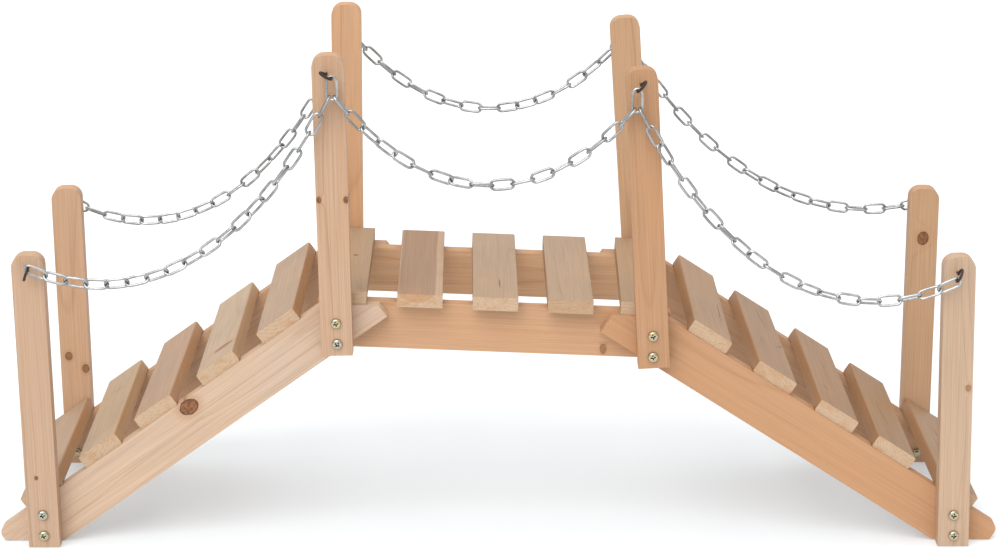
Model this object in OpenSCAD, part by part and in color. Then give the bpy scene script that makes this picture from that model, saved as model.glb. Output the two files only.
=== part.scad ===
// Small garden footbridge: a level middle span between two sloping ramps,
// rough-sawn softwood, with a chain handrail hung on hooks in the post faces.
// Each side is built in layers from the outside in: post, ramp beam, middle beam.
// Millimetres. X runs along the bridge, Y across it, Z up; the ground is Z = 0.
// The origin is on the ground, at the middle of the bridge's length and width.

/* [Bridge] */
// Distance from the middle of the bridge to where a ramp beam's lower edge meets the ground
heel_x = 437.5; // [430:0.5:445]
// Slope of the left ramp, degrees
pitch_left = 35.7; // [33:0.1:37]
// Slope of the right ramp, degrees
pitch_right = 32.9; // [31:0.1:36]
// Tilt of the middle span, degrees, down towards the right
deck_tilt = 2.3; // [0:0.1:3]
// Height of the top of the middle beams above the ground, at the middle
deck_z = 240.7; // [232:0.1:246]

/* [Beams] */
// Height of a beam's section
beam_h = 47.5; // [40:0.5:50]
// Thickness of a beam
beam_t = 16; // [12:1:20]
// Length of a ramp beam beyond the heel, down to its square-cut toe
toe_l = 48; // [44:1:52]
// Length of a ramp beam's lower edge, from the heel up to its square-cut tip
rise_l = 402; // [396:1:408]
// Radius of the rounded corner on a ramp beam's toe
toe_r = 8; // [2:1:11]
// Length of a middle beam
span_l = 350; // [340:1:356]

/* [Slats] */
// Width of a slat
slat_w = 45; // [36:1:50]
// Thickness of a slat
slat_t = 13.5; // [10:0.5:18]
// Length of a slat, across the bridge
slat_l = 248; // [230:1:251]
// Rounding of a ramp slat's long edges
slat_r = 2; // [0.5:0.5:5]
// Rounding of a deck slat's long edges
deck_slat_r = 1; // [0.5:0.5:5]
// Spacing of the middle span's slats
deck_pitch = 74.6; // [60:0.1:76]

/* [Posts] */
// Width of a post, along the bridge
post_w = 31; // [26:1:36]
// Thickness of a post, across the bridge
post_t = 19; // [15:1:24]
// Length of a post
post_l = 300; // [200:1:320]
// Radius of the rounded corners on a post's top
post_r = 12; // [4:1:13]
// Distance between the outer faces of the front and back posts
width = 290; // [284:1:300]

/* [Chains and hooks] */
// Diameter of the chain wire
wire_d = 2.5; // [1.5:0.1:3]
// Inside length of a chain link
link_pitch = 20; // [18:0.1:24]
// Outside width of a chain link
link_w = 12; // [10:0.5:14]
// Diameter of the hook wire
hook_d = 2.6; // [2:0.1:3]
// Outside diameter of a hook's ring
hook_ring = 15; // [12:0.5:18]
// Length of a hook's straight shank, from the post to the ring
hook_shank = 6; // [3:0.5:12]
// Distance of a hook below the top of its post
hook_drop = 15; // [12:0.5:40]

/* [Hidden] */
$fn = 48;
e = 0.01;

// Timber is tan; the slat faces are a little greyer.
timber = "#d9af8c";
slat_tan = "#cfae8e";
zinc = "#c9ccd0";
iron = "#2b2724";

// Where the layers lie across the bridge, measured outwards from the middle.
post_y = width / 2 - post_t;          // inner face of a post = outer face of a ramp beam
deck_y = post_y - beam_t;             // outer face of a middle beam

// Start of each ramp slat, measured up the slope from the heel.
left_at = [-10, 64, 136, 212.5, 287.5];
right_at = [-13.5, 62.5, 133.5, 210, 285];
// How far each slat was nailed out of square, degrees, from left to right.
left_skew = [0, 0, -1.1, -0.5, -0.8];
deck_skew = [0, 0.2, 0.2, 0, -1.2];
right_skew = [-0.2, 1.1, 0.3, -0.3, 0];
// How far each deck slat was nailed off centre, towards the back.
deck_shift = [0, -2.5, -3.5, -3.5, 0];
// Middle of the middle span.
deck_x = -4.8;

// Post feet [x, z]: the middle of the bottom end.
foot_el = [-455, 0];
foot_ml = [-159.8, 200];
foot_mr = [152.1, 187];
foot_er = [455, 0];
// Lean of each post, degrees, towards the left: front row, then back row.
lean_front = [1.1, 1.1, 3.2, 1.1];
lean_back = [0.9, -0.1, 3.8, 0];
// Length each post was cut over or under post_l.
extra_front = [2, 0, 0, 0];
extra_back = [2, 0, 0, 2];
// Hook place across the post face and up it, and turn of its ring about the screw, degrees from upright.
hook_off_front = [0.8, -1.1, -1.1, -2.5];
hook_off_back = [0, 0, 0, 0];
hook_rise_front = [1.8, -2.3, 0.7, 0];
hook_rise_back = [1.5, 0, -5.5, -0.5];
hook_roll_front = [-20, 61, -41, -23];
hook_roll_back = [12, 30, 0, -6];
// Turn of every chain link about its own length, degrees; 0 is broadside to the bridge's front.
turn_left_front = [20, -45, 20, -45, 20, -45, 30, -35, 40, -30, 60, -30, 40, -30, 70, -10, 85, 0, 90];
turn_deck_front = [90, 10, -65, 30, -35, 80, 15, -50, 65, 0, 85, 5, 85, 0, 85, 5, 90];
turn_right_front = [90, 25, -40, 75, 10, -75, 5, 68, -45, 20, 85, -30, 35, -80, -15, 50, -15, 55, -50, 15];
turn_left_back = [0, 65, -50, 15, -50, 15, -50, 35, -30, 85, 0, -65, 50, -15, 75, 0, 70, -45, 25, 90];
turn_deck_back = [90, 0, 65, -30, 65, -25, 50, -20, 90, 20, -50, 20, 90, 0, -65, 50, -15];
turn_right_back = [0, 65, -50, 15, 80, 0, 90, 0, 80, -15, 55, -30, 40, -45, 45, -20, 90, 0, 85, 0];

// ---------- timber shapes ----------

// A w by h rectangle about the origin with corners rounded to r.
module soft_rect(w, h, r) {
    square([w - 2 * r, h], center = true);
    square([w, h - 2 * r], center = true);
    for (x = [-1, 1], y = [-1, 1]) translate([x * (w / 2 - r), y * (h / 2 - r)]) circle(r);
}

// A flat outline drawn in X and Z becomes a board from y to y + t.
module board(y, t) translate([0, y + t, 0]) rotate([90, 0, 0]) linear_extrude(t) children();

// Side view of a ramp beam that climbs towards +X from its heel at the origin:
// square ends, a rounded toe, and level cuts where it meets the ground and the deck slats.
// lift is the height of the deck cut above the heel, directly over it, and tilt the cut's slope.
module ramp_outline(pitch, lift, tilt) {
    intersection() {
        rotate(pitch) difference() {
            union() {
                translate([toe_r - toe_l, 0]) square([rise_l + toe_l - toe_r, beam_h]);
                translate([-toe_l, 0]) square([toe_r + e, beam_h - toe_r]);
                translate([toe_r - toe_l, beam_h - toe_r]) circle(toe_r);
            }
        }
        polygon([[-90, 0], [400, 0], [400, lift + 400 * tan(tilt)], [-90, lift - 90 * tan(tilt)]]);
    }
}

// side -1 is the left ramp, side 1 the right one; row -1 is the front, row 1 the back.
module ramp_beam(side, row) {
    pitch = side < 0 ? pitch_left : pitch_right;
    y = row < 0 ? -post_y : post_y - beam_t;
    lift = deck_z - side * heel_x * tan(deck_tilt);
    color(timber)
    board(y, beam_t)
        if (side < 0) translate([-heel_x, 0]) ramp_outline(pitch, lift, -deck_tilt);
        else mirror([1, 0]) translate([-heel_x, 0]) ramp_outline(pitch, lift, deck_tilt);
}

module deck_beam(row) {
    y = row < 0 ? -deck_y : deck_y - beam_t;
    color(timber)
    translate([0, 0, deck_z]) rotate([0, deck_tilt, 0])
        translate([deck_x - span_l / 2, y, -beam_h]) cube([span_l, beam_t, beam_h]);
}

// A slat lying across the bridge with its underside at Z = 0, centred on the origin.
module slat(skew, r) {
    color(slat_tan)
    rotate([0, 0, skew]) translate([0, slat_l / 2, slat_t / 2]) rotate([90, 0, 0])
        linear_extrude(slat_l) soft_rect(slat_w, slat_t, r);
}

module ramp_slat(side, at, skew) {
    pitch = side < 0 ? pitch_left : pitch_right;
    translate([side * heel_x, 0, 0]) rotate([0, side * pitch, 0])
        translate([-side * (at + slat_w / 2), 0, beam_h]) slat(skew, slat_r);
}

module deck_slat(i) {
    translate([0, 0, deck_z]) rotate([0, deck_tilt, 0])
        translate([deck_x + (i - 3) * deck_pitch, deck_shift[i - 1], 0]) slat(deck_skew[i - 1], deck_slat_r);
}

// An upright post with a rounded top; the end posts are sawn level at the ground.
module post(foot, lean, row, extra) {
    long = post_l + extra;
    y = row < 0 ? -width / 2 : width / 2 - post_t;
    down = foot[1] < 1 ? 4 : 0;
    color(timber)
    board(y, post_t) intersection() {
        translate(foot) rotate(lean) {
            translate([-post_w / 2, -down]) square([post_w, long - post_r + down]);
            translate([-post_w / 2 + post_r, 0]) square([post_w - 2 * post_r, long]);
            for (x = [-1, 1]) translate([x * (post_w / 2 - post_r), long - post_r]) circle(post_r);
        }
        translate([foot[0] - 60, 0]) square([120, 600]);
    }
}

// ---------- chain and hooks ----------

// Middle of a hook's ring, given the post it is screwed into.
ring_r = (hook_ring - hook_d) / 2;
function hook_at(foot, lean, off, rise, row) = let (up = post_l - hook_drop + rise) [
    foot[0] + off * cos(lean) - up * sin(lean),
    row * (width / 2 + hook_shank + ring_r),
    foot[1] + off * sin(lean) + up * cos(lean)
];

// A screw hook: a straight shank in line with the middle of an open ring.
// roll turns the ring about the shank; the ring opens near the shank, at the upper side.
module hook(at, roll, row) {
    color(iron)
    translate(at) rotate([0, -roll, 0]) {
        rotate([row * 90, 0, 0]) {
            translate([0, 0, ring_r - 0.4]) cylinder(d = hook_d, h = hook_shank + 0.4);
        }
        // the ring lies in the Y-Z plane and starts at the shank
        rotate([0, 90, 0]) rotate([0, 0, row < 0 ? 90 : -90])
            rotate_extrude(angle = row < 0 ? 290 : -290) translate([ring_r, 0]) circle(d = hook_d, $fn = 24);
    }
}

// The end of a hook's ring that the chain pulls on: top or bottom of the rolled ring.
function ring_end(at, roll, up) = at + up * ring_r * [-sin(roll), 0, cos(roll)];

function sinh(x) = (exp(x) - exp(-x)) / 2;
function cosh(x) = (exp(x) + exp(-x)) / 2;
function asinh(x) = ln(x + sqrt(x * x + 1));
// The half-span ratio x for which sinh(x) / x = r, by halving.
function half_span(r, lo = 0.001, hi = 6, n = 40) =
    let (m = (lo + hi) / 2) n == 0 ? m :
    sinh(m) / m > r ? half_span(r, lo, m, n - 1) : half_span(r, m, hi, n - 1);

// Points n + 1 in number, evenly spaced along a hanging chain of length l from a to b.
function hang(a, b, l, n) = let (
    h = b[0] - a[0], v = b[2] - a[2],
    k = h / 2 / half_span(sqrt(l * l - v * v) / h),
    low = h / 2 - k * asinh(v / (2 * k * sinh(h / 2 / k)))
) [for (i = [0:n]) let (x = low + k * asinh(i * l / n / k - sinh(low / k)))
    [a[0] + x, a[1] + (b[1] - a[1]) * i / n, a[2] + k * (cosh((x - low) / k) - cosh(low / k))]];

// One long link about the origin, lying along X in the X-Z plane; l is its inside length.
// Its wire is drawn square, with the same metal area as the round wire.
wire_s = wire_d * sqrt(PI) / 2;
module slot(l, w) {
    square([l - w, w], center = true);
    for (s = [-1, 1]) translate([s * (l - w) / 2, 0]) circle(d = w);
}
module link(l) {
    rotate([90, 0, 0]) translate([0, 0, -wire_s / 2]) linear_extrude(wire_s) difference() {
        slot(l + 2 * wire_s, link_w);
        slot(l, link_w - 2 * wire_s);
    }
}

// Links from point to point, each turned about its own length. slack keeps them just apart.
slack = 1.3;
module links(p, turn) {
    color(zinc)
    for (i = [0:len(p) - 2]) let (
        d = p[i + 1] - p[i],
        l = norm(d)
    ) translate((p[i] + p[i + 1]) / 2)
        rotate([0, -asin(d[2] / l), atan2(d[1], d[0])])
        rotate([turn[i], 0, 0]) link(l + slack);
}
function chain(a, b, turn) = hang(a, b, len(turn) * link_pitch, len(turn));
// A link that hangs upright from the ring end f, and the inside of its lower end.
module hanging(f) color(zinc) translate(f + [0, 0, bear - (link_pitch + slack) / 2]) rotate([0, 90, 0]) link(link_pitch + slack);
function below(f) = f + [0, 0, bear - link_pitch - slack];

// ---------- nodes ----------

hf = [for (i = [0:3]) hook_at([foot_el, foot_ml, foot_mr, foot_er][i], lean_front[i], hook_off_front[i], hook_rise_front[i], -1)];
hb = [for (i = [0:3]) hook_at([foot_el, foot_ml, foot_mr, foot_er][i], lean_back[i], hook_off_back[i], hook_rise_back[i], 1)];

// Where the chain bears on each hook: half a hook wire and half a gap beyond the wire's middle.
bear = hook_d / 2 + slack / 2;
f0 = ring_end(hf[0], hook_roll_front[0], 1);
f1 = ring_end(hf[1], hook_roll_front[1], -1);
f2 = ring_end(hf[2], hook_roll_front[2], -1);
f3 = ring_end(hf[3], hook_roll_front[3], -1);
b0 = ring_end(hb[0], hook_roll_back[0], -1);
b1 = ring_end(hb[1], hook_roll_back[1], -1);
b2 = ring_end(hb[2], hook_roll_back[2], -1);
b3 = ring_end(hb[3], hook_roll_back[3], -1);

// Both middle hooks of the front row and the left one of the back row carry a hanging link,
// and the neighbouring chains meet side by side in its lower end.
nest_left = [-2.6, 0, 1.6];
nest_right = [2.7, 0, 1.7];
// On the other hooks a chain end lies against the ring wire, on the side away from its pull;
// where two share a ring they sit beside each other along the wire.
beside = [0, 1.6, 0];
up_left = bear * [-0.62, 0, 0.78];
up_right = bear * [0.62, 0, 0.78];

module chain_left_front() links(chain(f0 - [bear, 0, 0], below(f1) + nest_left, turn_left_front), turn_left_front);
module chain_deck_front() {
    links(chain(below(f1) + nest_right, below(f2) + nest_left, turn_deck_front), turn_deck_front);
    hanging(f1);
    hanging(f2);
}
module chain_right_front() links(chain(below(f2) + nest_right, f3 + [bear, 0, 0], turn_right_front), turn_right_front);
module chain_left_back() links(chain(b0 + up_left, below(b1) + nest_left, turn_left_back), turn_left_back);
module chain_deck_back() {
    links(chain(below(b1) + nest_right, b2 + 1.4 * up_right - beside, turn_deck_back), turn_deck_back);
    hanging(b1);
}
module chain_right_back() links(chain(b2 + 1.4 * up_left + beside, b3 + up_right, turn_right_back), turn_right_back);

ramp_beam(-1, -1);  // ramp_beam_left_front
ramp_beam(-1, 1);  // ramp_beam_left_back
ramp_beam(1, -1);  // ramp_beam_right_front
ramp_beam(1, 1);  // ramp_beam_right_back
deck_beam(-1);  // deck_beam_front
deck_beam(1);  // deck_beam_back
ramp_slat(-1, left_at[0], left_skew[0]);  // slat_left_1
ramp_slat(-1, left_at[1], left_skew[1]);  // slat_left_2
ramp_slat(-1, left_at[2], left_skew[2]);  // slat_left_3
ramp_slat(-1, left_at[3], left_skew[3]);  // slat_left_4
ramp_slat(-1, left_at[4], left_skew[4]);  // slat_left_5
deck_slat(1);  // slat_deck_1
deck_slat(2);  // slat_deck_2
deck_slat(3);  // slat_deck_3
deck_slat(4);  // slat_deck_4
deck_slat(5);  // slat_deck_5
ramp_slat(1, right_at[4], right_skew[0]);  // slat_right_1
ramp_slat(1, right_at[3], right_skew[1]);  // slat_right_2
ramp_slat(1, right_at[2], right_skew[2]);  // slat_right_3
ramp_slat(1, right_at[1], right_skew[3]);  // slat_right_4
ramp_slat(1, right_at[0], right_skew[4]);  // slat_right_5
post(foot_el, lean_front[0], -1, extra_front[0]);  // post_end_left_front
post(foot_el, lean_back[0], 1, extra_back[0]);  // post_end_left_back
post(foot_ml, lean_front[1], -1, extra_front[1]);  // post_mid_left_front
post(foot_ml, lean_back[1], 1, extra_back[1]);  // post_mid_left_back
post(foot_mr, lean_front[2], -1, extra_front[2]);  // post_mid_right_front
post(foot_mr, lean_back[2], 1, extra_back[2]);  // post_mid_right_back
post(foot_er, lean_front[3], -1, extra_front[3]);  // post_end_right_front
post(foot_er, lean_back[3], 1, extra_back[3]);  // post_end_right_back
hook(hf[0], hook_roll_front[0], -1);  // hook_end_left_front
hook(hb[0], hook_roll_back[0], 1);  // hook_end_left_back
hook(hf[1], hook_roll_front[1], -1);  // hook_mid_left_front
hook(hb[1], hook_roll_back[1], 1);  // hook_mid_left_back
hook(hf[2], hook_roll_front[2], -1);  // hook_mid_right_front
hook(hb[2], hook_roll_back[2], 1);  // hook_mid_right_back
hook(hf[3], hook_roll_front[3], -1);  // hook_end_right_front
hook(hb[3], hook_roll_back[3], 1);  // hook_end_right_back
chain_left_front();
chain_left_back();
chain_deck_front();
chain_deck_back();
chain_right_front();
chain_right_back();
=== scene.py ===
import bpy
import bmesh
import math
import random
from mathutils import Matrix, Vector, noise


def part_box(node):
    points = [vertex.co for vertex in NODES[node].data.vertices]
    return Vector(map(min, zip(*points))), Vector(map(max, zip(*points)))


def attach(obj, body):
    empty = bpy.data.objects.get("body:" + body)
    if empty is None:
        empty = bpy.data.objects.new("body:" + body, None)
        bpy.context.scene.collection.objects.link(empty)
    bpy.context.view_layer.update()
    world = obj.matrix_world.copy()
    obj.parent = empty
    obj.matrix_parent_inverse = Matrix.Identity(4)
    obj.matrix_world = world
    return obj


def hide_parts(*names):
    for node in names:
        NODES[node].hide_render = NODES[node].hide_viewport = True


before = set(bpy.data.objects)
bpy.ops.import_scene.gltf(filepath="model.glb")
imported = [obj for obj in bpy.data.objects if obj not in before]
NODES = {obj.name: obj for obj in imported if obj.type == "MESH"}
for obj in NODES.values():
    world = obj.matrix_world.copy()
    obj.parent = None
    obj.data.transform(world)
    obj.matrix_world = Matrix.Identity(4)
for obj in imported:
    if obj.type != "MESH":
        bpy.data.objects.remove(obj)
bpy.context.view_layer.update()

scene = bpy.context.scene


# ------------------------------------------------------------------ camera, floor and light

cam_data = bpy.data.cameras.new("camera")
cam = bpy.data.objects.new("camera", cam_data)
scene.collection.objects.link(cam)
cam_data.sensor_width = 36.0
cam_data.lens = 2895.0 / 1000.0 * 36.0
cam_data.clip_start = 0.05
cam_data.clip_end = 60.0
cam.location = (-0.0213, -2.8654, 1.0410)
pitch, yaw, roll = math.radians(15.64), math.radians(-0.452), math.radians(0.101)
cam.rotation_mode = "XYZ"
cam.matrix_world = (Matrix.Translation(cam.location) @ Matrix.Rotation(yaw, 4, "Z")
                    @ Matrix.Rotation(math.radians(90) - pitch, 4, "X") @ Matrix.Rotation(roll, 4, "Z"))
scene.camera = cam

scene.view_settings.view_transform = "Standard"
scene.view_settings.look = "None"
scene.view_settings.exposure = 0.0
scene.view_settings.gamma = 1.0

world = bpy.data.worlds.new("studio")
scene.world = world
world.use_nodes = True
bg = world.node_tree.nodes["Background"]
bg.inputs["Color"].default_value = (1.0, 1.0, 1.0, 1.0)
bg.inputs["Strength"].default_value = 0.74


def sun(name, frm, power, angle, colour=(1, 1, 1)):
    """A broad, even light from the direction frm; angle is how wide it looks, in degrees."""
    d = bpy.data.lights.new(name, "SUN")
    d.energy = power * math.pi
    d.angle = math.radians(angle)
    d.color = colour
    o = bpy.data.objects.new(name, d)
    scene.collection.objects.link(o)
    o.location = Vector(frm) * 3
    o.rotation_euler = (-Vector(frm)).to_track_quat("-Z", "Y").to_euler()
    return o


sun("key", (-0.35, -0.80, 0.85), 0.62, 50.0)
sun("top", (0.10, 0.12, 1.0), 0.35, 80.0)

floor_mesh = bpy.data.meshes.new("floor")
fb = bmesh.new()
bmesh.ops.create_grid(fb, x_segments=1, y_segments=1, size=9.0)
fb.to_mesh(floor_mesh)
fb.free()
floor = bpy.data.objects.new("floor", floor_mesh)
scene.collection.objects.link(floor)
floor.location = (0, 0, -0.0006)
fm = bpy.data.materials.new("floor")
fm.use_nodes = True
fp = fm.node_tree.nodes["Principled BSDF"]
fp.inputs["Base Color"].default_value = (0.60, 0.615, 0.628, 1)
# a lit backdrop sheet: it glows a little, so shadows on it stay pale and neutral
fp.inputs["Emission Color"].default_value = (0.895, 0.965, 1.0, 1)
fp.inputs["Emission Strength"].default_value = 0.31
fp.inputs["Roughness"].default_value = 0.9
fp.inputs["Specular IOR Level"].default_value = 0.1
floor_mesh.materials.append(fm)


# ------------------------------------------------------------------ timber

class Tree:
    """Small helper that adds nodes to a material and links them."""

    def __init__(self, mat):
        mat.use_nodes = True
        self.t = mat.node_tree
        self.bsdf = self.t.nodes["Principled BSDF"]
        self.x = -200

    def node(self, kind, **props):
        n = self.t.nodes.new(kind)
        for k, v in props.items():
            setattr(n, k, v)
        return n

    def put(self, socket, value):
        if isinstance(value, bpy.types.NodeSocket):
            self.t.links.new(value, socket)
        else:
            socket.default_value = value

    def math(self, op, a, b=None, c=None, clamp=False):
        n = self.node("ShaderNodeMath", operation=op, use_clamp=clamp)
        self.put(n.inputs[0], a)
        if b is not None:
            self.put(n.inputs[1], b)
        if c is not None:
            self.put(n.inputs[2], c)
        return n.outputs[0]

    def vmath(self, op, a, b=None, scale=None):
        n = self.node("ShaderNodeVectorMath", operation=op)
        self.put(n.inputs[0], a)
        if b is not None:
            self.put(n.inputs[1], b)
        if scale is not None:
            self.put(n.inputs["Scale"], scale)
        return n.outputs["Value"] if op in ("LENGTH", "DOT_PRODUCT", "DISTANCE") else n.outputs["Vector"]

    def mapping(self, vec, loc=(0, 0, 0), rot=(0, 0, 0), scale=(1, 1, 1), kind="POINT"):
        n = self.node("ShaderNodeMapping", vector_type=kind)
        self.put(n.inputs["Vector"], vec)
        if kind != "NORMAL" and kind != "VECTOR":
            n.inputs["Location"].default_value = loc
        n.inputs["Rotation"].default_value = rot
        n.inputs["Scale"].default_value = scale
        return n.outputs["Vector"]

    def noise(self, vec, scale, detail=3.0, rough=0.55, distortion=0.0, out="Fac"):
        n = self.node("ShaderNodeTexNoise")
        self.put(n.inputs["Vector"], vec)
        n.inputs["Scale"].default_value = scale
        n.inputs["Detail"].default_value = detail
        n.inputs["Roughness"].default_value = rough
        n.inputs["Distortion"].default_value = distortion
        return n.outputs[out]

    def ramp(self, fac, stops, interp="LINEAR"):
        n = self.node("ShaderNodeValToRGB")
        self.put(n.inputs["Fac"], fac)
        cr = n.color_ramp
        cr.interpolation = interp
        while len(cr.elements) > len(stops):
            cr.elements.remove(cr.elements[-1])
        while len(cr.elements) < len(stops):
            cr.elements.new(0.5)
        for e, (p, c) in zip(cr.elements, stops):
            e.position = p
            e.color = (*c, 1.0) if len(c) == 3 else c
        return n.outputs["Color"]

    def mix(self, fac, a, b, mode="MIX"):
        n = self.node("ShaderNodeMix", data_type="RGBA", blend_type=mode, clamp_factor=True)
        self.put(n.inputs["Factor"], fac)
        self.put(n.inputs[6], a)
        self.put(n.inputs[7], b)
        return n.outputs[2]

    def maprange(self, v, a, b, c, d, smooth=False):
        n = self.node("ShaderNodeMapRange", interpolation_type="SMOOTHSTEP" if smooth else "LINEAR")
        self.put(n.inputs["Value"], v)
        n.inputs["From Min"].default_value = a
        n.inputs["From Max"].default_value = b
        n.inputs["To Min"].default_value = c
        n.inputs["To Max"].default_value = d
        return n.outputs["Result"]

    def combine(self, x, y, z):
        n = self.node("ShaderNodeCombineXYZ")
        for s, v in zip(n.inputs, (x, y, z)):
            self.put(s, v)
        return n.outputs[0]

    def separate(self, v):
        n = self.node("ShaderNodeSeparateXYZ")
        self.put(n.inputs[0], v)
        return n.outputs


def srgb(r, g, b):
    """8-bit sRGB to linear."""
    def f(c):
        c = c / 255.0
        return c / 12.92 if c <= 0.04045 else ((c + 0.055) / 1.055) ** 2.4
    return (f(r), f(g), f(b))


LIGHT = 0.75


def paint(r, g, b):
    """The colour a board should look in this light, as the albedo that gives it."""
    return tuple(c * LIGHT for c in srgb(r, g, b))


def board_axes(obj, along, up):
    """Right-handed axes of a board: x along its length, z its face normal; and its middle."""
    x = Vector(along).normalized()
    z = Vector(up)
    z = (z - x * z.dot(x)).normalized()
    y = z.cross(x)
    co = [v.co for v in obj.data.vertices]
    mid = Vector((0, 0, 0))
    for a in (x, y, z):
        d = [a.dot(c) for c in co]
        mid += a * (min(d) + max(d)) / 2
    return x, y, z, mid


def timber(name, obj, along, up, seed, face, late, knots=(), cracks=(), end=None, edge=None,
           pith=(0.0, 0.055), ring=0.0034, grey=0.0, heart=None, lines=0.85):
    """Sawn softwood. along and up are the board's length and its wide face's normal.
    face and late are the early and late wood's colours; pith is where the tree's heart runs, across the
    section, so end grain shows its curved rings; knots are (x, y, radius, depth axis) in the board's own
    metres from its middle; cracks are (x0, y0, x1, y1, width) on the wide face. edge tints the narrow
    faces, and heart is (y, z, radius) of the browner heartwood in the section."""
    rnd = random.Random(seed)
    m = bpy.data.materials.new(name)
    t = Tree(m)
    X, Y, Z, mid = board_axes(obj, along, up)
    # world to board: rotate by the transpose of the axes after moving the middle to the origin
    R = Matrix((X, Y, Z))
    tex = t.node("ShaderNodeTexCoord")
    moved = t.vmath("SUBTRACT", tex.outputs["Object"], tuple(mid))
    p = t.combine(t.vmath("DOT_PRODUCT", moved, tuple(R[0])),
                  t.vmath("DOT_PRODUCT", moved, tuple(R[1])),
                  t.vmath("DOT_PRODUCT", moved, tuple(R[2])))
    nrm = t.node("ShaderNodeNewGeometry").outputs["True Normal"]
    n_len = t.math("ABSOLUTE", t.vmath("DOT_PRODUCT", nrm, tuple(R[0])))
    endmask = t.maprange(n_len, 0.72, 0.86, 0.0, 1.0, True)
    edgemask = t.maprange(t.math("ABSOLUTE", t.vmath("DOT_PRODUCT", nrm, tuple(R[1]))), 0.60, 0.85, 0.0, 1.0, True)
    px, py, pz = t.separate(p)

    # growth rings: distance from a heart that runs beside the board and wanders a little
    off = (rnd.uniform(-9, 9), rnd.uniform(-9, 9), rnd.uniform(-9, 9))
    seedp = t.vmath("ADD", p, off)
    wander = t.noise(t.mapping(seedp, scale=(2.2, 9.0, 9.0)), 1.0, 2.0, 0.5, out="Color")
    wv = t.vmath("SCALE", t.vmath("SUBTRACT", wander, (0.5, 0.5, 0.5)), scale=0.020)
    wx, wy, wz = t.separate(wv)
    cy = t.math("ADD", t.math("SUBTRACT", py, pith[0]), wy)
    cz = t.math("ADD", t.math("SUBTRACT", pz, pith[1]), wz)
    # knots bend the grain round them
    knotmask = None
    knotcore = None
    for kx, ky, kr, axis, *more in knots:
        firm, slim = (list(more) + [1.0, 1.0][len(more):])
        dx = t.math("SUBTRACT", px, kx)
        q = py if axis == "z" else pz
        dq = t.math("SUBTRACT", q, ky)
        dist = t.math("SQRT", t.math("ADD", t.math("POWER", t.math("MULTIPLY", dx, 0.8 * slim), 2.0),
                                     t.math("POWER", t.math("DIVIDE", dq, slim ** 0.5), 2.0)))
        bulge = t.math("MULTIPLY", t.math("POWER", 2.718, t.math("MULTIPLY", -1.0, t.math(
            "POWER", t.math("DIVIDE", dist, kr * 1.7), 2.0))), kr * 0.8)
        if axis == "z":
            cy = t.math("ADD", cy, t.math("MULTIPLY", bulge, 0.6))
            cz = t.math("ADD", cz, t.math("MULTIPLY", bulge, 1.0))
        else:
            cz = t.math("ADD", cz, t.math("MULTIPLY", bulge, 1.0))
        jag = t.math("MULTIPLY", t.math("SUBTRACT", t.noise(seedp, 160.0, 3.0, 0.6), 0.5), kr * 0.30)
        core = t.maprange(t.math("ADD", dist, jag), kr * 0.60, kr * 1.0, 1.0, 0.0, True)
        shade = t.math("MULTIPLY", t.maprange(core, 0.0, 0.25, 0.0, 1.0, True), firm)
        halo = t.maprange(t.math("ADD", dist, jag), kr * 0.8, kr * 1.9, 1.0, 0.0, True)
        knotshade = shade if knotcore is None else t.math("MAXIMUM", knotshade, shade)
        knotcore = core if knotcore is None else t.math("MAXIMUM", knotcore, core)
        knotmask = halo if knotmask is None else t.math("MAXIMUM", knotmask, halo)
    radius = t.math("SQRT", t.math("ADD", t.math("POWER", cy, 2.0), t.math("POWER", cz, 2.0)))
    wide = t.noise(t.mapping(seedp, scale=(1.5, 22.0, 22.0)), 1.0, 1.0, 0.5)
    phase = t.math("ADD", t.math("DIVIDE", radius, ring), t.math("MULTIPLY", wide, 1.6))
    fr = t.math("FRACT", phase)
    band = t.ramp(fr, [(0.0, (0.0,) * 3), (0.60, (0.06,) * 3), (0.85, (0.26,) * 3), (0.915, (1.0,) * 3),
                       (0.95, (0.25,) * 3), (1.0, (0.0,) * 3)])
    # each year's line has its own strength
    year = t.math("FLOOR", phase)
    yr = t.node("ShaderNodeTexWhiteNoise", noise_dimensions="1D")
    t.put(yr.inputs["W"], t.math("ADD", year, rnd.uniform(0, 50)))
    strength = t.maprange(yr.outputs["Value"], 0.0, 1.0, 0.30, 1.0)
    ringmask = t.math("MULTIPLY", band, strength)

    # fibres: fine streaks along the board
    fibre = t.noise(t.mapping(seedp, scale=(9.0, 900.0, 900.0)), 1.0, 3.0, 0.6)
    streak = t.noise(t.mapping(seedp, scale=(2.0, 140.0, 140.0)), 1.0, 2.0, 0.6)
    blotch = t.noise(t.mapping(seedp, scale=(7.0, 24.0, 24.0)), 1.0, 3.0, 0.55)

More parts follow.
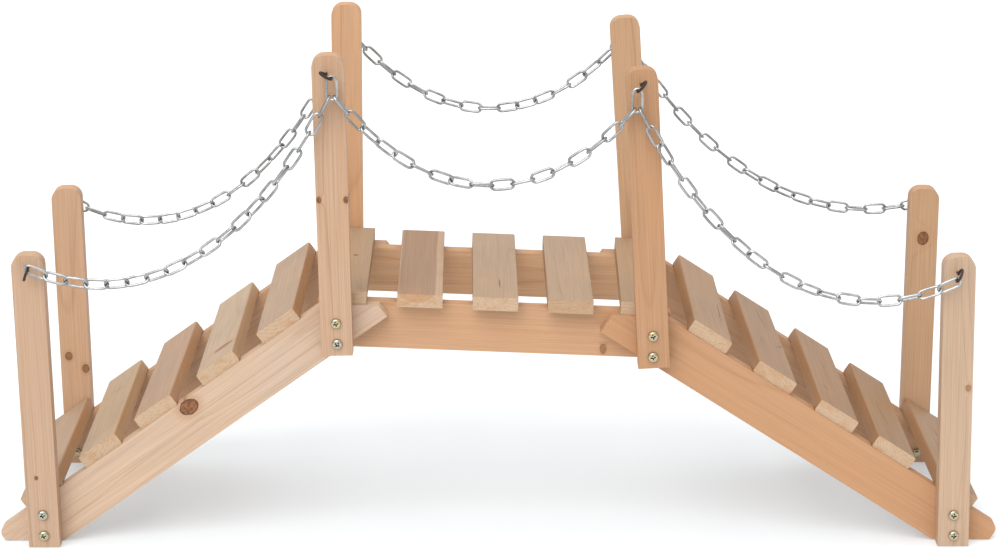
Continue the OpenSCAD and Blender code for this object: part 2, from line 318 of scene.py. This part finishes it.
    face_c, late_c = (*paint(*face), 1.0), (*paint(*late), 1.0)
    base = face_c
    if heart:
        hy, hz, hr = heart
        hd = t.math("SQRT", t.math("ADD", t.math("POWER", t.math("SUBTRACT", py, hy), 2.0),
                                   t.math("POWER", t.math("SUBTRACT", pz, hz), 2.0)))
        hd = t.math("ADD", hd, t.math("MULTIPLY", wx, 0.15))
        inside_heart = t.maprange(hd, hr - 0.0006, hr + 0.0006, 1.0, 0.0, True)
        sap = tuple(min(1.0, c * k) for c, k in zip(face_c[:3], (1.45, 1.60, 1.75)))
        base = t.mix(inside_heart, (*sap, 1.0), face_c)
    col = t.mix(t.math("MULTIPLY", ringmask, lines), base, late_c)
    warm = tuple(min(1.0, c * k) for c, k in zip(face_c[:3], (1.07, 0.98, 0.86)))
    pale = tuple(min(1.0, c * k) for c, k in zip(face_c[:3], (1.10, 1.12, 1.12)))
    col = t.mix(t.maprange(blotch, 0.38, 0.68, 0.0, 0.55), col, (*warm, 1.0), "MIX")
    col = t.mix(t.maprange(streak, 0.50, 0.75, 0.0, 0.45), col, (*pale, 1.0), "MIX")
    col = t.mix(t.maprange(fibre, 0.30, 0.62, 0.30 * lines, 0.0), col, (*paint(*[int(c * 0.66) for c in late]), 1.0), "MIX")
    if grey:
        dirt = t.noise(t.mapping(seedp, loc=(3, 1, 2), scale=(12.0, 30.0, 30.0)), 1.0, 4.0, 0.6)
        col = t.mix(t.maprange(dirt, 0.40, 0.70, 0.0, grey), col, (*paint(158, 134, 112), 1.0), "MIX")

    if edge:
        ec = t.mix(t.math("MULTIPLY", ringmask, 0.6), (*paint(*edge), 1.0),
                   (*paint(*[int(c * 0.80) for c in edge]), 1.0))
        ec = t.mix(t.maprange(streak, 0.40, 0.75, 0.0, 0.5), ec, col)
        col = t.mix(edgemask, col, ec)

    # sawn ends: a little rough, with the year rings showing as arcs
    e0 = end or (222, 186, 152)
    endsaw = t.noise(t.mapping(seedp, scale=(60.0, 380.0, 620.0)), 1.0, 3.0, 0.65)
    endc = t.mix(t.math("MULTIPLY", ringmask, 0.85), (*paint(*e0), 1.0),
                 (*paint(*[int(c * k) for c, k in zip(e0, (0.84, 0.76, 0.66))]), 1.0))
    if heart:
        endc = t.mix(t.math("MULTIPLY", inside_heart, 0.75), endc, (*paint(204, 150, 104), 1.0))
    endc = t.mix(t.maprange(endsaw, 0.35, 0.70, 0.0, 0.30), endc,
                 (*paint(*[min(255, int(c * k)) for c, k in zip(e0, (1.06, 1.08, 1.10))]), 1.0))
    patch = t.noise(t.mapping(seedp, loc=(5, 2, 8), scale=(30.0, 70.0, 110.0)), 1.0, 3.0, 0.6)
    endc = t.mix(t.maprange(patch, 0.50, 0.66, 0.0, 0.50), endc, (*paint(206, 152, 106), 1.0))
    endc = t.mix(t.maprange(endsaw, 0.30, 0.44, 0.45, 0.0), endc, (*paint(176, 132, 96), 1.0))
    col = t.mix(endmask, col, endc)

    height = t.math("MULTIPLY", t.math("SUBTRACT", fibre, 0.5), 0.00022)
    height = t.math("ADD", height, t.math("MULTIPLY", ringmask, 0.00010))
    height = t.math("ADD", height, t.math("MULTIPLY", t.math("MULTIPLY", endmask, endsaw), 0.0007))

    if knotcore is not None:
        swirl = t.noise(seedp, 380.0, 3.0, 0.6)
        inner = t.mix(t.maprange(swirl, 0.42, 0.60, 0.0, 1.0), (*paint(126, 80, 50), 1.0), (*paint(164, 112, 72), 1.0))
        rim = t.maprange(knotcore, 0.30, 0.80, 1.0, 0.0, True)
        dark = t.mix(t.math("MULTIPLY", rim, 0.8), inner, (*paint(88, 52, 32), 1.0))
        col = t.mix(t.math("MULTIPLY", knotmask, 0.38), col, (*paint(198, 140, 92), 1.0), "MIX")
        col = t.mix(knotshade, col, dark)
        height = t.math("SUBTRACT", height, t.math("MULTIPLY", t.math("MULTIPLY", knotcore, swirl), 0.0005))
    for x0, y0, x1, y1, w in cracks:
        # distance from the segment, worked out in the wide face's plane, with a ragged edge
        L = math.hypot(x1 - x0, y1 - y0)
        ux, uy = (x1 - x0) / L, (y1 - y0) / L
        rx, ry = t.math("SUBTRACT", px, x0), t.math("SUBTRACT", py, y0)
        along_ = t.math("ADD", t.math("MULTIPLY", rx, ux), t.math("MULTIPLY", ry, uy))
        side = t.math("ADD", t.math("MULTIPLY", rx, -uy), t.math("MULTIPLY", ry, ux))
        jit = t.math("MULTIPLY", t.math("SUBTRACT", t.noise(t.mapping(seedp, scale=(55.0, 8.0, 8.0)), 1.0, 3.0, 0.6), 0.5), 0.006)
        side = t.math("ABSOLUTE", t.math("ADD", side, jit))
        tcl = t.math("DIVIDE", along_, L)
        taper = t.math("MULTIPLY", t.math("MULTIPLY", t.math("MULTIPLY", tcl, t.math("SUBTRACT", 1.0, tcl)), 4.0), w)
        inside = t.math("MULTIPLY", t.math("GREATER_THAN", tcl, 0.0), t.math("LESS_THAN", tcl, 1.0))
        cm = t.math("MULTIPLY", t.math("LESS_THAN", side, taper), inside)
        topm = t.math("GREATER_THAN", t.math("ABSOLUTE", t.vmath("DOT_PRODUCT", nrm, tuple(R[2]))), 0.9)
        cm = t.math("MULTIPLY", cm, topm)
        # painted shade: the crack's line is darkened toward a deep brown, standing in for the shade inside the split,
        # whose depth is only a shallow bump
        col = t.mix(t.math("MULTIPLY", cm, 0.82), col, (*paint(92, 58, 36), 1.0))
        height = t.math("SUBTRACT", height, t.math("MULTIPLY", cm, 0.0008))

    t.put(t.bsdf.inputs["Base Color"], col)
    rough = t.math("ADD", t.maprange(fibre, 0.3, 0.7, 0.60, 0.50), t.math("MULTIPLY", endmask, 0.22))
    t.put(t.bsdf.inputs["Roughness"], rough)
    t.bsdf.inputs["Specular IOR Level"].default_value = 0.32
    b = t.node("ShaderNodeBump")
    b.inputs["Strength"].default_value = 0.85
    b.inputs["Distance"].default_value = 1.0
    t.put(b.inputs["Height"], height)
    t.put(t.bsdf.inputs["Normal"], b.outputs["Normal"])
    obj.data.materials.clear()
    obj.data.materials.append(m)
    return m


def ease(obj, width, segments=2, angle=30):
    """Takes the sharpness off a board's edges without moving its faces."""
    b = obj.modifiers.new("eased_edges", "BEVEL")
    b.width = width
    b.segments = segments
    b.limit_method = "ANGLE"
    b.angle_limit = math.radians(angle)
    b.harden_normals = False


def darker(c, k=(0.84, 0.78, 0.70)):
    return tuple(int(v * f) for v, f in zip(c, k))


def scaled(c, gain):
    """An 8-bit colour made gain times brighter in light."""
    out = []
    for v, g in zip(srgb(*c), gain):
        v = max(0.0, min(1.0, v * g))
        out.append(255.0 * (12.92 * v if v <= 0.0031308 else 1.055 * v ** (1 / 2.4) - 0.055))
    return tuple(out)


PL, PR, DT = math.radians(35.7), math.radians(32.9), math.radians(2.3)
up_l, up_r = Vector((math.cos(PL), 0, math.sin(PL))), Vector((math.cos(PR), 0, -math.sin(PR)))
deck_dir = Vector((math.cos(DT), 0, -math.sin(DT)))
Yv = Vector((0, 1, 0))

# name: direction, outward face, seed, colour, knots, pith
beams = {
    "ramp_beam_left_front": (up_l, 11, (227, 197, 172), [(0.0099, 0.0157, 0.0088, "z")], (0.012, -0.036), 0.0062),
    "ramp_beam_left_back": (up_l, 12, (214, 172, 138), [], (-0.010, -0.06), 0.0045),
    "ramp_beam_right_front": (up_r, 13, (211, 161, 120), [], (0.030, -0.05), 0.0050),
    "ramp_beam_right_back": (up_r, 14, (214, 170, 134), [], (0.0, -0.07), 0.0045),
    "deck_beam_front": (deck_dir, 15, (219, 172, 133), [(0.1097, -0.0165, 0.0046, "z", 0.62, 1.6)], (-0.040, -0.030), 0.0048),
    "deck_beam_back": (deck_dir, 16, (224, 180, 141), [], (-0.006, -0.045), 0.0055),
}
LINES = {"ramp_beam_left_front": 1.0, "ramp_beam_right_front": 0.45, "deck_beam_front": 0.6, "deck_beam_back": 1.0}
for n, (d, seed, colour, knots, pith, ring) in beams.items():
    timber("wood_" + n, NODES[n], d, (0, -1, 0), seed, colour, darker(colour), knots=knots,
           lines=LINES.get(n, 0.9), pith=pith, ring=ring, end=darker(colour, (0.99, 0.98, 0.96)), edge=darker(colour, (0.96, 0.93, 0.88)))
    ease(NODES[n], 0.0008)

# name: lean, colour, knots, pith, ring
posts = {
    "post_end_left_front": (1.1, (215, 180, 152), [(-0.0778, 0.0040, 0.0020, "z")], (0.055, -0.12), 0.0030),
    "post_mid_left_front": (1.1, (217, 178, 147), [(0.0081, 0.0126, 0.0028, "z"), (0.0076, -0.0138, 0.0030, "z")],
                            (0.050, -0.11), 0.0032),
    "post_mid_right_front": (3.2, (207, 159, 120), [], (0.001, -0.030), 0.0050),
    "post_end_right_front": (1.1, (214, 183, 156), [(0.0162, -0.0112, 0.0030, "z", 0.6)], (-0.060, -0.10), 0.0030),
    "post_end_left_back": (0.9, (218, 177, 143), [(-0.0348, 0.0062, 0.0042, "z", 0.85), (-0.0491, -0.0114, 0.0042, "z", 0.85)],
                           (-0.002, -0.11), 0.0034),
    "post_mid_left_back": (-0.1, (224, 177, 137), [], (-0.006, -0.030), 0.0052),
    "post_mid_right_back": (3.8, (216, 175, 138), [], (0.0, -0.10), 0.0036),
    "post_end_right_back": (0.0, (208, 169, 133), [(0.0965, 0.0001, 0.0066, "z")], (0.002, -0.08), 0.0038),
}
leans = {n: v[0] for n, v in posts.items()}
for i, (n, (lean, colour, knots, pith, ring)) in enumerate(posts.items()):
    a = math.radians(lean)
    timber("wood_" + n, NODES[n], (-math.sin(a), 0, math.cos(a)), (0, -1, 0), 40 + i, colour, darker(colour),
           knots=knots, pith=pith, ring=ring, end=darker(colour, (1.0, 0.99, 0.98)),
           edge=darker(colour, (0.95, 0.91, 0.86)))
    ease(NODES[n], 0.0009, 3)

TOPS = {
    "slat_left_1": (196, 165, 138), "slat_left_2": (205, 178, 150), "slat_left_3": (198, 166, 141),
    "slat_left_4": (208, 183, 159), "slat_left_5": (201, 172, 148),
    "slat_deck_1": (192, 160, 130), "slat_deck_2": (180, 145, 117), "slat_deck_3": (194, 167, 143),
    "slat_deck_4": (194, 166, 141), "slat_deck_5": (190, 158, 128),
    "slat_right_1": (190, 160, 134), "slat_right_2": (182, 151, 125), "slat_right_3": (180, 147, 119),
    "slat_right_4": (176, 143, 113), "slat_right_5": (180, 148, 120),
}
GAIN = {"left": (0.94, 0.91, 0.86), "deck": (0.95, 0.93, 0.88), "right": (0.97, 0.90, 0.80)}
ENDS = {"slat_deck_4": (203, 170, 138), "slat_deck_3": (216, 185, 154)}
slat_knots = {"slat_left_4": [(-0.0818, -0.0060, 0.0085, "z", 0.75, 1.9)], 
              "slat_deck_1": [(0.0119, -0.0065, 0.0028, "z", 0.9)]}
slat_cracks = {
    "slat_right_1": [(-0.067, -0.0143, 0.005, -0.0153, 0.0005)],
    "slat_right_2": [(-0.020, -0.0124, -0.005, -0.0225, 0.0008), (0.03, -0.004, 0.10, 0.001, 0.0005)],
    "slat_right_3": [(-0.061, 0.0135, -0.0645, 0.0030, 0.0012)],
    "slat_right_4": [(-0.06, 0.001, 0.02, 0.006, 0.0005)],
    "slat_right_5": [(-0.02, -0.006, 0.07, 0.002, 0.0007)],
    "slat_left_2": [(0.0575, 0.0103, 0.0555, -0.0101, 0.0009)],
    "slat_deck_3": [(-0.088, -0.0049, -0.052, -0.0035, 0.0005)],
}
for i, n in enumerate(sorted(TOPS)):
    side = n.split("_")[1]
    up = {"left": Vector((-math.sin(PL), 0, math.cos(PL))), "right": Vector((math.sin(PR), 0, math.cos(PR))),
          "deck": Vector((math.sin(DT), 0, math.cos(DT)))}[side]
    r = random.Random(100 + i)
    c = scaled(TOPS[n], GAIN[side])
    ec = scaled(darker(TOPS[n], (0.91, 0.81, 0.68)), (1.12, 1.08, 1.0))
    timber("wood_" + n, NODES[n], Yv, up, 70 + i, c, darker(c, (0.86, 0.81, 0.76)), knots=slat_knots.get(n, []),
           cracks=slat_cracks.get(n, []), pith=(r.uniform(-0.02, 0.02), r.choice((-1, 1)) * r.uniform(0.025, 0.06)),
           ring=0.0032, grey=0.25, end=ENDS.get(n, (215, 184, 152)), edge=ec, lines=0.50,
           heart=(0.003, 0.020, 0.0225) if n == "slat_deck_2" else None)
    ease(NODES[n], 0.0004, 2, 40)


# ------------------------------------------------------------------ metal finishes

def metal(name, base, rough, dark=None, speckle=0.0, metallic=1.0, scale=600.0):
    m = bpy.data.materials.new(name)
    t = Tree(m)
    tex = t.node("ShaderNodeTexCoord")
    n1 = t.noise(tex.outputs["Object"], scale, 4.0, 0.6)
    n2 = t.noise(tex.outputs["Object"], scale * 0.12, 2.0, 0.5)
    c = t.mix(t.maprange(n2, 0.35, 0.65, 0.0, 1.0), (*srgb(*base), 1.0), (*srgb(*(dark or [int(v * 0.82) for v in base])), 1.0))
    c = t.mix(t.maprange(n1, 0.55, 0.75, 0.0, speckle), c, (*srgb(*[int(v * 0.6) for v in base]), 1.0))
    t.put(t.bsdf.inputs["Base Color"], c)
    t.bsdf.inputs["Metallic"].default_value = metallic
    t.put(t.bsdf.inputs["Roughness"], t.maprange(n1, 0.3, 0.7, rough - 0.06, rough + 0.10))
    b = t.node("ShaderNodeBump")
    b.inputs["Strength"].default_value = 0.4
    b.inputs["Distance"].default_value = 0.0001
    t.put(b.inputs["Height"], n1)
    t.put(t.bsdf.inputs["Normal"], b.outputs["Normal"])
    return m


ZINC = metal("zinc_plate", (188, 188, 187), 0.28, (150, 150, 149), 0.50)
GOLD = metal("yellow_zinc", (196, 184, 146), 0.17, (184, 182, 166), 0.30)
# painted shade: a dark finish for the faces inside the screw heads' cross recess, where shade falls
RECESS_PAINTED_SHADE = metal("recess_shadow", (70, 64, 48), 0.45, (52, 48, 38), 0.3)
BLACK = metal("black_lacquer", (34, 30, 28), 0.42, (58, 46, 36), 0.3, metallic=0.35)


def smooth(me):
    for p in me.polygons:
        p.use_smooth = True


def tube(points, radius, closed, sides=12):
    """A round wire swept along points, with rings that don't twist."""
    me = bpy.data.meshes.new("tube")
    bm = bmesh.new()
    n = len(points)
    rings = []
    pts = [Vector(p) for p in points]
    ref = None
    for i in range(n):
        if closed:
            d = (pts[(i + 1) % n] - pts[i - 1]).normalized()
        else:
            d = (pts[min(i + 1, n - 1)] - pts[max(i - 1, 0)]).normalized()
        if ref is None:
            ref = d.orthogonal().normalized()
        ref = (ref - d * ref.dot(d)).normalized()
        side = d.cross(ref)
        rad = radius[i] if isinstance(radius, (list, tuple)) else radius
        rings.append([bm.verts.new(pts[i] + (ref * math.cos(a) + side * math.sin(a)) * rad)
                      for a in [2 * math.pi * k / sides for k in range(sides)]])
    for i in range(n if closed else n - 1):
        a, b = rings[i], rings[(i + 1) % n]
        # a closed planar loop comes back to its start without a twist
        for k in range(sides):
            bm.faces.new((a[k], a[(k + 1) % sides], b[(k + 1) % sides], b[k]))
    if not closed:
        bm.faces.new(list(reversed(rings[0])))
        bm.faces.new(rings[-1])
    bmesh.ops.recalc_face_normals(bm, faces=bm.faces)
    bm.to_mesh(me)
    bm.free()
    return me


# ------------------------------------------------------------------ chains

def loose_parts(me):
    bm = bmesh.new()
    bm.from_mesh(me)
    bmesh.ops.remove_doubles(bm, verts=bm.verts, dist=1e-6)
    seen, parts = set(), []
    for v in bm.verts:
        if v in seen:
            continue
        stack, part = [v], []
        seen.add(v)
        while stack:
            w = stack.pop()
            part.append(w.co.copy())
            for e in w.link_edges:
                o = e.other_vert(w)
                if o not in seen:
                    seen.add(o)
                    stack.append(o)
        parts.append(part)
    bm.free()
    return parts


def link_frame(part):
    """Middle and axes of one flat CAD link: its length, its width and its normal."""
    lo = [min(c[i] for c in part) for i in range(3)]
    hi = [max(c[i] for c in part) for i in range(3)]
    # the two points farthest apart lie at the ends of the link, a half thickness to either side
    best, pair = -1.0, None
    seed = max(part, key=lambda c: (c - part[0]).length)
    far = max(part, key=lambda c: (c - seed).length)
    mean = sum(part, Vector()) / len(part)
    import numpy as np
    a = np.array([list(c) for c in part])
    mid = (a.max(0) + a.min(0)) / 2
    # faces are evenly shared between the ends, so the principal axes are the link's own
    q = a - a.mean(0)
    w, v = np.linalg.eigh(q.T @ q)
    X, Yx, Z = Vector(v[:, 2]), Vector(v[:, 1]), Vector(v[:, 0])
    c = Vector()
    ext = []
    for ax in (X, Yx, Z):
        d = [ax.dot(p) for p in part]
        c += ax * (min(d) + max(d)) / 2
        ext.append(max(d) - min(d))
    return c, X, Yx, Z, ext


WIRE = 0.0027


def link_points(inner, outer_w, n=10):
    """Middle line of a long link in its own plane; a real link's sides bow out a touch."""
    r = (outer_w - WIRE) / 2
    half = (inner + WIRE) / 2 - r
    pts = []
    for s in (1, -1):
        for k in range(n + 1):
            a = -math.pi / 2 + math.pi * k / n
            pts.append((s * (half + r * math.cos(a)), s * r * math.sin(a), 0))
        for k in (0.25, 0.5, 0.75):
            pts.append((s * half * (1 - 2 * k), s * (r + 0.00012 * math.sin(math.pi * k)), 0))
    return pts


for n in sorted(k for k in NODES if k.startswith("chain_")):
    bm = bmesh.new()
    parts = loose_parts(NODES[n].data)
    rnd = random.Random(sum(map(ord, n)))
    for part in parts:
        c, X, Yx, Z, ext = link_frame(part)
        # the CAD link's inside length is its outside length less two square wires
        sq = 0.0025 * math.sqrt(math.pi) / 2
        inner = ext[0] - 2 * sq - 0.0013 + 0.00005
        me = tube(link_points(inner, 0.012), WIRE / 2, True, 12)
        Mx = Matrix((X, Yx, X.cross(Yx))).transposed().to_4x4()
        Mx.translation = c
        me.transform(Mx)
        bm.from_mesh(me)
        bpy.data.meshes.remove(me)
    me = bpy.data.meshes.new(n + "_links")
    bm.to_mesh(me)
    bm.free()
    smooth(me)
    me.materials.append(ZINC)
    o = bpy.data.objects.new(n + "_links", me)
    scene.collection.objects.link(o)
    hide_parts(n)
    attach(o, "root")


# ------------------------------------------------------------------ hooks

for n in sorted(k for k in NODES if k.startswith("hook_")):
    o = NODES[n]
    o.data.materials.clear()
    o.data.materials.append(BLACK)


# ------------------------------------------------------------------ screws and nuts

def lathe(profile, steps=32):
    """A closed solid of revolution about Z from (radius, height) pairs, first and last on the axis."""
    bm = bmesh.new()
    rings = []
    for r, z in profile:
        if r < 1e-7:
            rings.append([bm.verts.new((0, 0, z))])
        else:
            rings.append([bm.verts.new((r * math.cos(2 * math.pi * k / steps), r * math.sin(2 * math.pi * k / steps), z))
                          for k in range(steps)])
    for a, b in zip(rings, rings[1:]):
        for k in range(steps):
            k2 = (k + 1) % steps
            if len(a) == 1:
                bm.faces.new((a[0], b[k], b[k2]))
            elif len(b) == 1:
                bm.faces.new((a[k], a[k2], b[0]))
            else:
                bm.faces.new((a[k], a[k2], b[k2], b[k]))
    bmesh.ops.recalc_face_normals(bm, faces=bm.faces)
    return bm


def screw_head(d=0.0105, h=0.0036):
    """Pan head with a cross recess cut as a tapered plus."""
    r = d / 2
    prof = [(0.0, 0.0), (r * 0.97, 0.0), (r, 0.00025)]
    for k in range(1, 9):
        a = math.pi / 2 * k / 8
        prof.append((r - (r * 0.42) * (1 - math.cos(a)), 0.0008 + (h - 0.0008) * math.sin(a)))
    prof.append((0.0, h + 0.0002))
    bm = lathe(prof, 40)
    me = bpy.data.meshes.new("head")
    bm.to_mesh(me)
    bm.free()
    head = bpy.data.objects.new("head_tmp", me)
    scene.collection.objects.link(head)
    # the recess: two crossed wedges
    cb = bmesh.new()
    for turn in (0, math.pi / 2):
        w0, w1, l0, l1, z0, z1 = 0.00050, 0.00080, 0.0009, 0.0032, h - 0.0024, h + 0.0008
        vs = [cb.verts.new(v) for v in [(-l0, -w0, z0), (l0, -w0, z0), (l0, w0, z0), (-l0, w0, z0),
                                        (-l1, -w1, z1), (l1, -w1, z1), (l1, w1, z1), (-l1, w1, z1)]]
        for f in ((0, 3, 2, 1), (4, 5, 6, 7), (0, 1, 5, 4), (1, 2, 6, 5), (2, 3, 7, 6), (3, 0, 4, 7)):
            cb.faces.new([vs[i] for i in f])
        if turn:
            bmesh.ops.rotate(cb, verts=vs, cent=(0, 0, 0), matrix=Matrix.Rotation(turn, 3, "Z"))
    cme = bpy.data.meshes.new("cut")
    cb.to_mesh(cme)
    cb.free()
    cut = bpy.data.objects.new("cut_tmp", cme)
    scene.collection.objects.link(cut)
    mod = head.modifiers.new("recess", "BOOLEAN")
    mod.operation = "DIFFERENCE"
    mod.object = cut
    mod.solver = "EXACT"
    mod.use_self = True
    dg = bpy.context.evaluated_depsgraph_get()
    out = bpy.data.meshes.new_from_object(head.evaluated_get(dg))
    # the faces inside the cross recess take the second finish, the dark painted shade
    for f in out.polygons:
        if math.hypot(f.center.x, f.center.y) < 0.0033 and f.center.z < h - 0.0003 and f.normal.z < 0.95 and f.center.z > 0.0008:
            f.material_index = 1
    bpy.data.objects.remove(head)
    bpy.data.objects.remove(cut)
    return out


def nut(af=0.008, h=0.0040, bolt=0.005, tip=0.0025):
    """Hexagon nut with rounded corners on top, and the thread end that stands through it."""
    bm = bmesh.new()
    R = af / math.sqrt(3)
    rings = []
    for z, k in ((0.0, 1.0), (h - 0.0006, 1.0), (h, 0.90)):
        rings.append([bm.verts.new((R * k * math.cos(math.pi / 3 * i), R * k * math.sin(math.pi / 3 * i), z)) for i in range(6)])
    for a, b in zip(rings, rings[1:]):
        for i in range(6):
            bm.faces.new((a[i], a[(i + 1) % 6], b[(i + 1) % 6], b[i]))
    bm.faces.new(list(reversed(rings[0])))
    bm.faces.new(rings[-1])
    # threaded end: turns drawn as shallow rings
    prof = [(0.0, h - 0.0005)]
    z = h - 0.0005
    r = bolt / 2
    while z < h + tip - 0.0004:
        prof += [(r, z), (r - 0.0003, z + 0.0004)]
        z += 0.0008
    prof += [(r - 0.0006, h + tip), (0.0, h + tip)]
    tb = lathe(prof, 20)
    tm = bpy.data.meshes.new("tip")
    tb.to_mesh(tm)
    tb.free()
    bm.from_mesh(tm)
    bpy.data.meshes.remove(tm)
    bmesh.ops.recalc_face_normals(bm, faces=bm.faces)
    me = bpy.data.meshes.new("nut")
    bm.to_mesh(me)
    bm.free()
    return me


head_me, nut_me = screw_head(), nut()
rnd = random.Random(5)
for n, lean in leans.items():
    o = NODES[n]
    row = -1 if n.endswith("front") else 1
    lo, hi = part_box(n)
    outer = lo[1] if row < 0 else hi[1]
    zmin = min(v.co.z for v in o.data.vertices)
    foot = [v.co for v in o.data.vertices if v.co.z < zmin + 0.0025]
    fx = (min(v.x for v in foot) + max(v.x for v in foot)) / 2
    a = math.radians(lean)
    fz = sum(v.z for v in foot) / len(foot)
    beam = "deck_beam_front" if row < 0 else "deck_beam_back"
    if "end" in n:
        beam = f"ramp_beam_{'left' if 'left' in n else 'right'}_{'front' if row < 0 else 'back'}"
    blo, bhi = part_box(beam)
    inner = bhi[1] if row < 0 else blo[1]
    for j, s in enumerate((0.0120, 0.0335)):
        x = fx - s * math.sin(a) + rnd.uniform(-0.0006, 0.0006)
        z = fz + s * math.cos(a) + rnd.uniform(-0.0006, 0.0006)
        for what, src, y, d in (("screw", head_me, outer, row), ("nut", nut_me, inner, -row)):
            me = src.copy()
            ob = bpy.data.objects.new(f"{what}_{n[5:]}_{j + 1}", me)
            scene.collection.objects.link(ob)
            # local Z points out of the wood
            M = Matrix.Rotation(-math.pi / 2 * d, 4, "X") @ Matrix.Rotation(rnd.uniform(0, 6.28), 4, "Z")
            M = Matrix.Translation((x, y, z)) @ M
            me.transform(M)
            me.materials.append(GOLD)
            if what == "screw":
                me.materials.append(RECESS_PAINTED_SHADE)
            if what == "screw":
                smooth(me)
                es = ob.modifiers.new("edges", "BEVEL")
                es.width = 0.00008
                es.segments = 1
                es.limit_method = "ANGLE"
                es.angle_limit = math.radians(50)
            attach(ob, "root")
